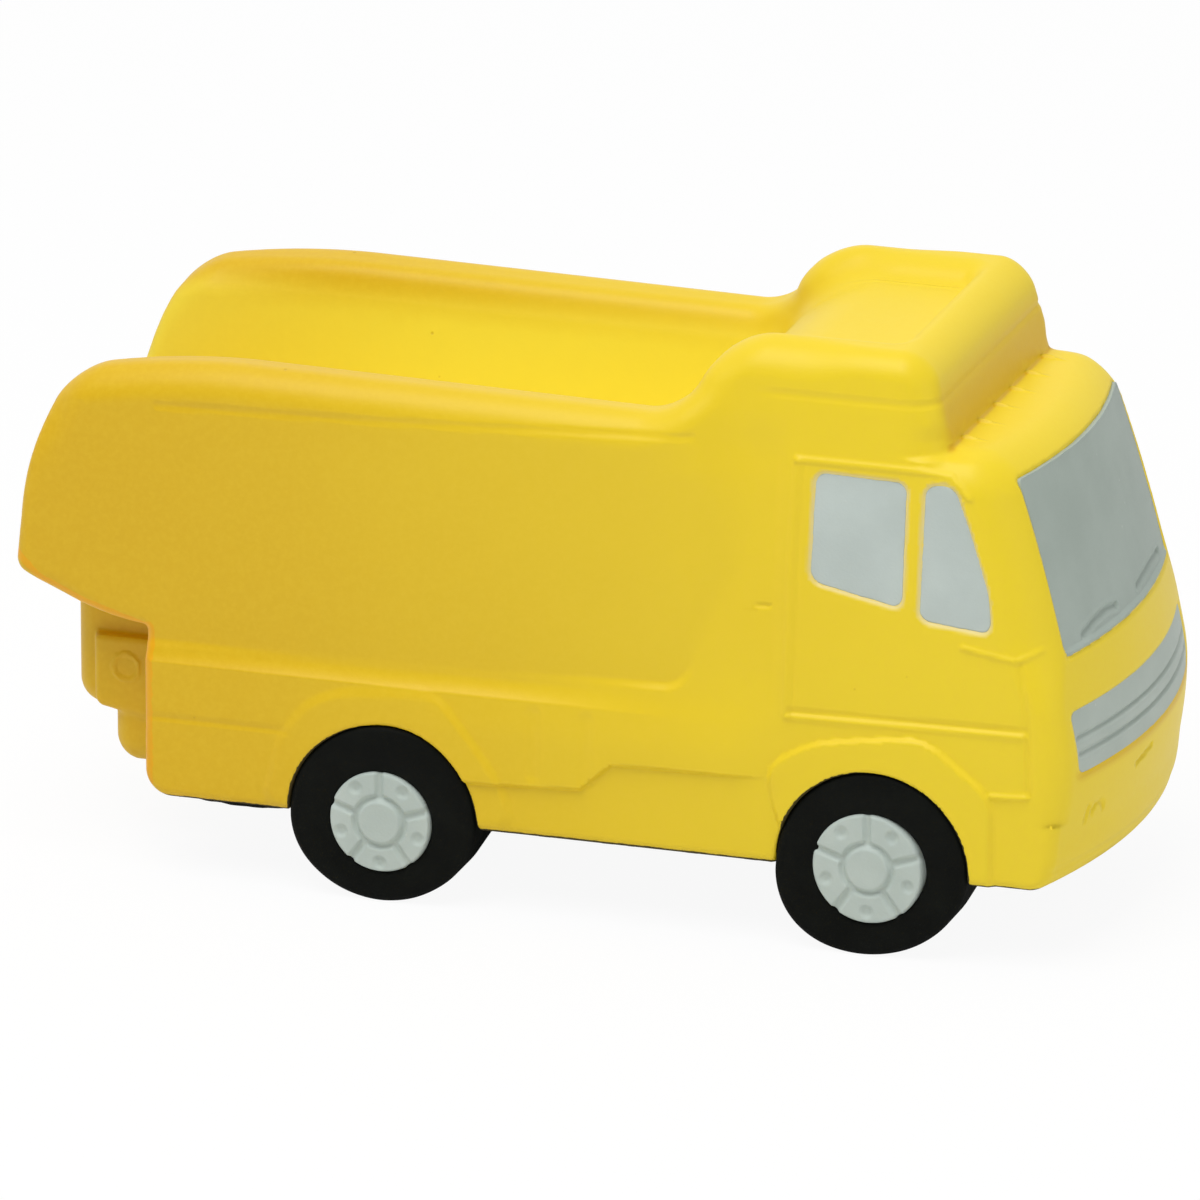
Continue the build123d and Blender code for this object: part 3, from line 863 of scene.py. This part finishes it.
def make_underside():
    """Black coat under the body: a shallow plate with a wavering edge, clear of the wheels."""
    low, high = span("underside_skin")

    def gap(x, y, z):
        a = abs(y)
        waver = 0.12 * np.sin(x * 0.9) + 0.10 * np.sin(x * 2.3 + 1) + 0.08 * np.sin(y * 1.7)
        inset = 0.65 + 2.4 * ease(NOSE - 15, NOSE - 9, x)
        plan = body_gap(x, y, BOTTOM + 2.2 + 0 * z) + inset + waver
        bulge = 0.25 * ease(TAIL + 4, TAIL + 7, x) * fade(TAIL + 10, TAIL + 14, x) * ease(14, 18, a)
        plate = smooth_max(BOTTOM - 0.06 - bulge - z, z - BOTTOM - 0.7, 0.3)
        return smooth_max(smooth_max(plan, plate, 0.4), low[0] - x, 0.4)

    piece = level_piece("underside_coat", gap, low - 1.6, high + 1.0, 0.5, COAT_TRIANGLES)
    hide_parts("underside_skin")
    return piece


# ------------ shader expressions
class Value:
    """A shader socket that takes part in arithmetic: each operator adds a Math node."""

    def __init__(self, shader, socket):
        self.shader, self.socket = shader, socket

    def _math(self, operation, first, second):
        settings = {"operation": operation}
        return self.shader.node("ShaderNodeMath", settings, {0: first, 1: second})[0]

    def __add__(self, other):
        return self._math("ADD", self, other)

    def __sub__(self, other):
        return self._math("SUBTRACT", self, other)

    def __mul__(self, other):
        return self._math("MULTIPLY", self, other)

    def __rsub__(self, other):
        return self._math("SUBTRACT", other, self)

    __radd__, __rmul__ = __add__, __mul__

    def ease(self, low, high):
        """0 below low, 1 above high, smooth between."""
        settings = {"interpolation_type": "SMOOTHSTEP"}
        return self.shader.node("ShaderNodeMapRange", settings, {0: self, 1: low, 2: high})[0]


class Shader:
    """Node tree of one material or world."""

    def __init__(self, owner):
        owner.use_nodes = True
        self.owner, self.tree = owner, owner.node_tree
        self.tree.nodes.clear()
        self.coordinates = self.node("ShaderNodeTexCoord")
        self.place = self.coordinates["Object"]

    def node(self, kind, settings=None, inputs=None):
        """Adds any node: its settings first, then the values or links of its sockets. Returns
        its outputs, wrapped."""
        made = self.tree.nodes.new(kind)
        for key, value in (settings or {}).items():
            setattr(made, key, value)
        for key, value in (inputs or {}).items():
            if isinstance(value, Value):
                self.tree.links.new(value.socket, made.inputs[key])
            else:
                made.inputs[key].default_value = value
        return Outputs(self, made)

    def noise(self, per_mm, detail, rough):
        """Noise at a scale given in cells per millimetre, from 0 to 1."""
        return self.node("ShaderNodeTexNoise", None, {
            "Vector": self.place, "Scale": per_mm / MM, "Detail": detail, "Roughness": rough})[0]

    def cells(self, per_mm):
        """Distance to the middle of the nearest of scattered cells, in cell widths."""
        return self.node("ShaderNodeTexVoronoi", {"feature": "F1"}, {
            "Vector": self.place, "Scale": per_mm / MM, "Randomness": 1.0})["Distance"]

    def blend(self, amount, first, second):
        """Colour first, going to second as amount goes to 1."""
        settings = {"data_type": "RGBA", "blend_type": "MIX"}
        return self.node("ShaderNodeMix", settings, {0: amount, 6: first, 7: second})[2]

    def attribute(self, name):
        return self.node("ShaderNodeAttribute", {"attribute_name": name})["Fac"]

    def bump(self, height):
        """Normal bent by a height in millimetres."""
        return self.node("ShaderNodeBump", None, {
            "Height": height, "Distance": MM, "Strength": 1.0})[0]

    def finish(self, colour, roughness, normal, specular=0.5):
        inputs = {"Base Color": colour, "Roughness": roughness, "Normal": normal,
                  "Specular IOR Level": specular}
        surface = self.node("ShaderNodeBsdfPrincipled", None, inputs)
        self.node("ShaderNodeOutputMaterial", None, {"Surface": surface[0]})
        return self.owner


class Outputs:
    """Outputs of a node, by name or number."""

    def __init__(self, shader, made):
        self.shader, self.made = shader, made

    def __getitem__(self, key):
        return Value(self.shader, self.made.outputs[key])


def srgb(red, green, blue):
    """Linear colour from 0 to 255 display values."""
    def linear(value):
        value /= 255
        return value / 12.92 if value <= 0.04045 else ((value + 0.055) / 1.055) ** 2.4
    return (linear(red), linear(green), linear(blue), 1.0)


# ------------ materials
# two ends of a painted shade along the body: darker and more orange at the rear, paler at the nose
SHADED_REAR_YELLOW = srgb(220, 176, 14)
LIT_FRONT_YELLOW = srgb(240, 212, 38)
SPECKLE_YELLOW = srgb(238, 204, 50)
FLASH_ORANGE = srgb(236, 168, 0)
PANE_RIM = srgb(226, 216, 180)
# painted light: the pale lemon of the lit inside of the hopper
CAVITY_LIGHT_LEMON = srgb(252, 236, 76)
# amber of the painted shade on the fairing's face, in its crease and under the grille
SHADE_AMBER = srgb(216, 168, 0)
SPRAY_BLACK = srgb(22, 24, 18)
PORE_BROWN = srgb(170, 120, 12)


def yellow_foam():
    """Satin skin of moulded yellow foam: faint mottling, fine grain, a few pores, orange flash
    where the mould shut, and black overspray round the wheels and underside; painted shade that
    darkens it towards the rear, painted light in the hopper cavity, and painted amber shade on the
    fairing's face and crease and under the grille."""
    shader = Shader(bpy.data.materials.new("yellow_foam"))
    cloud = shader.noise(0.045, 3.0, 0.5)
    speckle = shader.noise(1.6, 2.0, 0.6)
    forward = shader.node("ShaderNodeSeparateXYZ", None, {0: shader.place})[0]
    # painted shade: the yellow darkens towards the rear and lightens towards the nose, as the light
    # falls
    light_drift = (forward + cloud * 0.02 - 0.01).ease(-0.055, 0.045)
    colour = shader.blend(light_drift, SHADED_REAR_YELLOW, LIT_FRONT_YELLOW)
    colour = shader.blend(speckle.ease(0.3, 0.8) * 0.2, colour, SPECKLE_YELLOW)
    flash_noise = shader.noise(0.9, 4.0, 0.7)
    flash = (shader.attribute("flash") + flash_noise * 0.7 - 0.35).ease(0.42, 0.62)
    colour = shader.blend(flash * 0.8, colour, FLASH_ORANGE)
    colour = shader.blend(shader.attribute("halo") * 0.6, colour, PANE_RIM)
    # painted light: the hopper cavity is brightened towards lemon
    colour = shader.blend(shader.attribute("cavity_light") * 0.85, colour, CAVITY_LIGHT_LEMON)
    # painted shade: amber on the fairing's front face, in the crease at its foot, and painted
    # shadow under the grille
    colour = shader.blend(shader.attribute("painted_shade") * 0.6, colour, SHADE_AMBER)
    spray_noise = shader.noise(0.5, 5.0, 0.7)
    spray = (shader.attribute("overspray") + spray_noise * 0.8 - 0.4).ease(0.45, 0.58)
    colour = shader.blend(spray * 0.93, colour, SPRAY_BLACK)
    pores = 1 - shader.cells(0.16).ease(0.012, 0.035)
    colour = shader.blend(pores * 0.35, colour, PORE_BROWN)
    grain = shader.noise(4.5, 2.0, 0.55)
    waves = shader.noise(0.12, 2.0, 0.4)
    height = grain * 0.010 + waves * 0.10 - pores * 0.05
    normal = shader.bump(height)
    roughness = 0.40 + speckle * 0.08 + spray * 0.3
    return shader.finish(colour, roughness, normal, 0.32)


def black_coat():
    """Matt black paint on foam: slightly grey where thin, with a fine sprayed grain."""
    shader = Shader(bpy.data.materials.new("black_coat"))
    cloud = shader.noise(0.25, 4.0, 0.6)
    grain = shader.noise(5.0, 3.0, 0.6)
    colour = shader.blend(cloud.ease(0.35, 0.75), srgb(4, 6, 3), srgb(10, 13, 8))
    normal = shader.bump(grain * 0.03 + cloud * 0.05)
    return shader.finish(colour, 0.62 + grain * 0.1, normal, 0.12)


def grey_paint(name, light, dark):
    """Matt grey paint: soft mottling from one grey to the other, fine grain, a few specks."""
    shader = Shader(bpy.data.materials.new(name))
    cloud = shader.noise(0.09, 4.0, 0.6)
    grain = shader.noise(3.5, 3.0, 0.6)
    specks = 1 - shader.cells(0.35).ease(0.02, 0.06)
    colour = shader.blend(cloud.ease(0.3, 0.7), light, dark)
    colour = shader.blend(specks * 0.4, colour, srgb(205, 212, 205))
    normal = shader.bump(grain * 0.03 + specks * 0.02)
    return shader.finish(colour, 0.5 + grain * 0.1, normal, 0.4)


def foam_core_finish():
    """Open soft foam inside the skin: pale yellow, pitted by its cells."""
    shader = Shader(bpy.data.materials.new("open_foam"))
    cells = shader.cells(1.5)
    colour = shader.blend(cells.ease(0.1, 0.6), srgb(206, 168, 60), srgb(236, 206, 110))
    return shader.finish(colour, 0.9, shader.bump(cells * 0.2))


def floor_finish():
    """Pale floor, near white to the camera, that keeps the object's shadow."""
    shader = Shader(bpy.data.materials.new("studio_floor"))
    lit = shader.node("ShaderNodeBsdfDiffuse", None, {"Color": (0.9, 0.9, 0.9, 1)})[0]
    white = shader.node("ShaderNodeEmission", None, {"Color": (1, 1, 1, 1), "Strength": 1.0})[0]
    seen = shader.node("ShaderNodeLightPath")["Is Camera Ray"]
    surface = shader.node("ShaderNodeMixShader", None, {0: seen * FLOOR_WHITE, 1: lit, 2: white})[0]
    shader.node("ShaderNodeOutputMaterial", None, {"Surface": surface})
    return shader.owner


# ------------ marks held as attributes
def mark_body(piece, points):
    """Marks read by the yellow foam, from 0 to 1 at each vertex: orange mould flash, black
    overspray, the pale rim of the side panes, painted light that brightens the hopper cavity, and
    painted amber shade on the fairing's front face and crease and painted shadow under the grille."""
    x, y, z = points.T
    a = abs(y)
    corner = [(TAIL + 0.3, 9.0), (TAIL + 0.3, SKIRT)]
    upright = groove(line_gap(corner, x, z), 1.3) * ease(16, 18.2, a)
    under = [(TAIL, SKIRT + 0.2), (TAIL - 6, SKIRT + 2.0), (TAIL - 10, SKIRT + 3.8),
             (LIP, LIP_HEIGHT)]
    lower = groove(line_gap(under, x, z), 0.7) * ease(16, 18, a)
    flash = np.maximum(upright, lower)
    halo = groove(abs(side_pane_gap(x, z) - 0.1), 0.35) * (a > 15)
    # painted light inside the hopper cavity, weaker towards the rear lip
    cavity_light = fade(0.1, 2.0, abs(cavity_gap(x, a, z))) * fade(44, 48.5, z)
    cavity_light = cavity_light * (0.65 + 0.35 * ease(LIP + 5, LIP + 35, x))
    # painted shade on the fairing's front face, deeper in the crease at its foot, and painted
    # shadow under the grille's lower edge
    face = abs(x - FAIRING_FRONT + FAIRING_LEAN * (z - FAIRING_FOOT))
    painted_shade = fade(0.4, 1.1, face) * ease(47.4, 48.0, z) * fade(50, 54, z)
    painted_shade = painted_shade * fade(14.0, 15.8, a)
    crease = fade(0.1, 0.45, abs(fairing_outline(x, z))) * (x > FAIRING_FRONT - 2)
    crease = crease * fade(0.1, 0.45, abs(side_outline(x, z)))
    painted_shade = np.maximum(painted_shade, 1.5 * crease)
    under_grille = groove(abs(z - grille_low[2] + 0.3), 0.9) * fade(0.3, 1.2, grille_gap(y, z))
    painted_shade = np.maximum(painted_shade, under_grille * (x > NOSE - 8))
    spray = np.zeros_like(x)
    for wheel in WHEELS.values():
        ring = np.hypot(x - wheel["x"], z - wheel["z"]) - wheel["radius"]
        spray = np.maximum(spray, fade(0.05, 0.4, ring) * (a > 10))
    base = fade(BOTTOM + 0.1, BOTTOM + 0.7, z)
    between = (x > WHEELS["rear"]["x"]) * (x < WHEELS["front"]["x"])
    spray = np.maximum(spray, (0.7 + 0.3 * between) * base * (x > TAIL - 1))
    inner = fade(0.2, 0.6, wheel_pocket_gap(x, a, z))
    spray = np.maximum(spray, inner * (a < 18.6))
    marks = {"flash": flash, "overspray": spray, "halo": halo, "cavity_light": cavity_light, "painted_shade": painted_shade}
    for name, values in marks.items():
        attribute = piece.data.attributes.new(name, "FLOAT", "POINT")
        attribute.data.foreach_set("value", values.astype(np.float32))


# ------------ assembly
def wear(piece, material):
    """Gives a piece its material and record slot, and lets it ride on the one body."""
    piece.data.materials.clear()
    piece.data.materials.append(material)
    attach(piece, "root")


def build_truck():
    yellow = yellow_foam()
    black = black_coat()
    glass_grey = grey_paint("window_grey", srgb(193, 204, 199), srgb(184, 195, 190))
    screen_grey = grey_paint("windscreen_grey", srgb(168, 180, 171), srgb(160, 172, 163))
    grille_grey = grey_paint("grille_grey", srgb(184, 194, 185), srgb(174, 185, 176))
    hub_grey = grey_paint("wheel_grey", srgb(196, 207, 200), srgb(182, 194, 187))
    body = make_body()
    mark_body(body, coordinates(body))
    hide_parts("body_skin")
    wear(body, yellow)
    for side, sign in SIDES:
        for end in WHEELS:
            tyre = make_tyre(end, side, sign)
            wear(tyre, black)
            wear(make_wheel_centre(end, side, sign), hub_grey)
    for pane in make_side_panes():
        wear(pane, glass_grey)
    for pane, grey in zip(make_front_panes(), (screen_grey, grille_grey)):
        wear(pane, grey)
    wear(make_underside(), black)
    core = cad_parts["foam_core"]
    core.data.materials.clear()
    core.data.materials.append(foam_core_finish())


# ------------ studio
CAMERA_TURN = math.radians(18.47)
CAMERA_RISE = math.radians(19.14)
CAMERA_ROLL = math.radians(-0.17)
CAMERA_DISTANCE = 1.858
CAMERA_LENS = 613.2
CAMERA_TARGET = Vector((-2.25, 0, 23.95)) * MM
SENSOR_WIDTH = 36.0
# place in metres and power of each softbox
SOFTBOXES = {"top_light": ((-0.05, -0.30, 0.70), 3.9), "front_fill": ((0.75, -0.30, 0.20), 0.6)}
SOFTBOX_SIZE = 0.5
WORLD_BRIGHT_SIDE = (-0.3, 0.9, 0.3)
WORLD_DARK, WORLD_BRIGHT = 0.25, 1.12
FLOOR_HALF = 4.0  # metres
FLOOR_WHITE = 0.93  # share of plain white in what the camera sees of the floor


def add_camera():
    """Long lens from the right front, a little above."""
    back = Vector((math.sin(CAMERA_TURN) * math.cos(CAMERA_RISE),
                   -math.cos(CAMERA_TURN) * math.cos(CAMERA_RISE), math.sin(CAMERA_RISE)))
    data = bpy.data.cameras.new("camera")
    data.lens, data.sensor_width = CAMERA_LENS, SENSOR_WIDTH
    camera = place_in_scene("camera", data)
    camera.location = CAMERA_TARGET + back * CAMERA_DISTANCE
    turn = back.to_track_quat("Z", "Y").to_matrix() @ Matrix.Rotation(CAMERA_ROLL, 3, "Z")
    camera.rotation_euler = turn.to_euler()
    bpy.context.scene.camera = camera


def add_softbox(name, place, power):
    """Square area light at place, in metres, facing the middle of the truck."""
    data = bpy.data.lights.new(name, "AREA")
    data.energy, data.size = power, SOFTBOX_SIZE
    lamp = place_in_scene(name, data)
    lamp.location = place
    lamp.rotation_euler = (Vector(place) - Vector((0, 0, 0.02))).to_track_quat("Z", "Y").to_euler()


def add_studio():
    """Pale floor and world, a strong softbox overhead and a weak one ahead."""
    half, low = FLOOR_HALF, cad_low.z
    edge = [(-half, -half, low), (half, -half, low), (half, half, low), (-half, half, low)]
    mesh = bpy.data.meshes.new("studio_floor")
    mesh.from_pydata(edge, [], [(0, 1, 2, 3)])
    mesh.materials.append(floor_finish())
    floor = place_in_scene("studio_floor", mesh)
    for name, (place, power) in SOFTBOXES.items():
        add_softbox(name, place, power)
    add_world()
    bpy.context.scene.view_settings.view_transform = "Standard"


def add_world():
    """White to the camera; otherwise brighter behind the object than before it."""
    shader = Shader(bpy.data.worlds.new("studio"))
    bpy.context.scene.world = shader.owner
    facing = shader.node("ShaderNodeVectorMath", {"operation": "DOT_PRODUCT"}, {
        0: shader.coordinates["Generated"], 1: WORLD_BRIGHT_SIDE})["Value"]
    backdrop = shader.node("ShaderNodeMapRange", None, {
        0: facing, 1: -0.6, 2: 1.0, 3: WORLD_DARK, 4: WORLD_BRIGHT})[0]
    path = shader.node("ShaderNodeLightPath")
    seen = shader.node("ShaderNodeMath", {"operation": "MAXIMUM"}, {
        0: path["Is Camera Ray"], 1: path["Is Transmission Ray"]})[0]
    strength = shader.node("ShaderNodeMapRange", None, {0: seen, 3: backdrop, 4: 1.0})[0]
    sky = shader.node("ShaderNodeBackground", None, {"Strength": strength})[0]
    shader.node("ShaderNodeOutputWorld", None, {"Surface": sky})


build_truck()
add_studio()
add_camera()


# ------------ close
def corners(bounds):
    return [list(map(float, corner)) for corner in bounds]
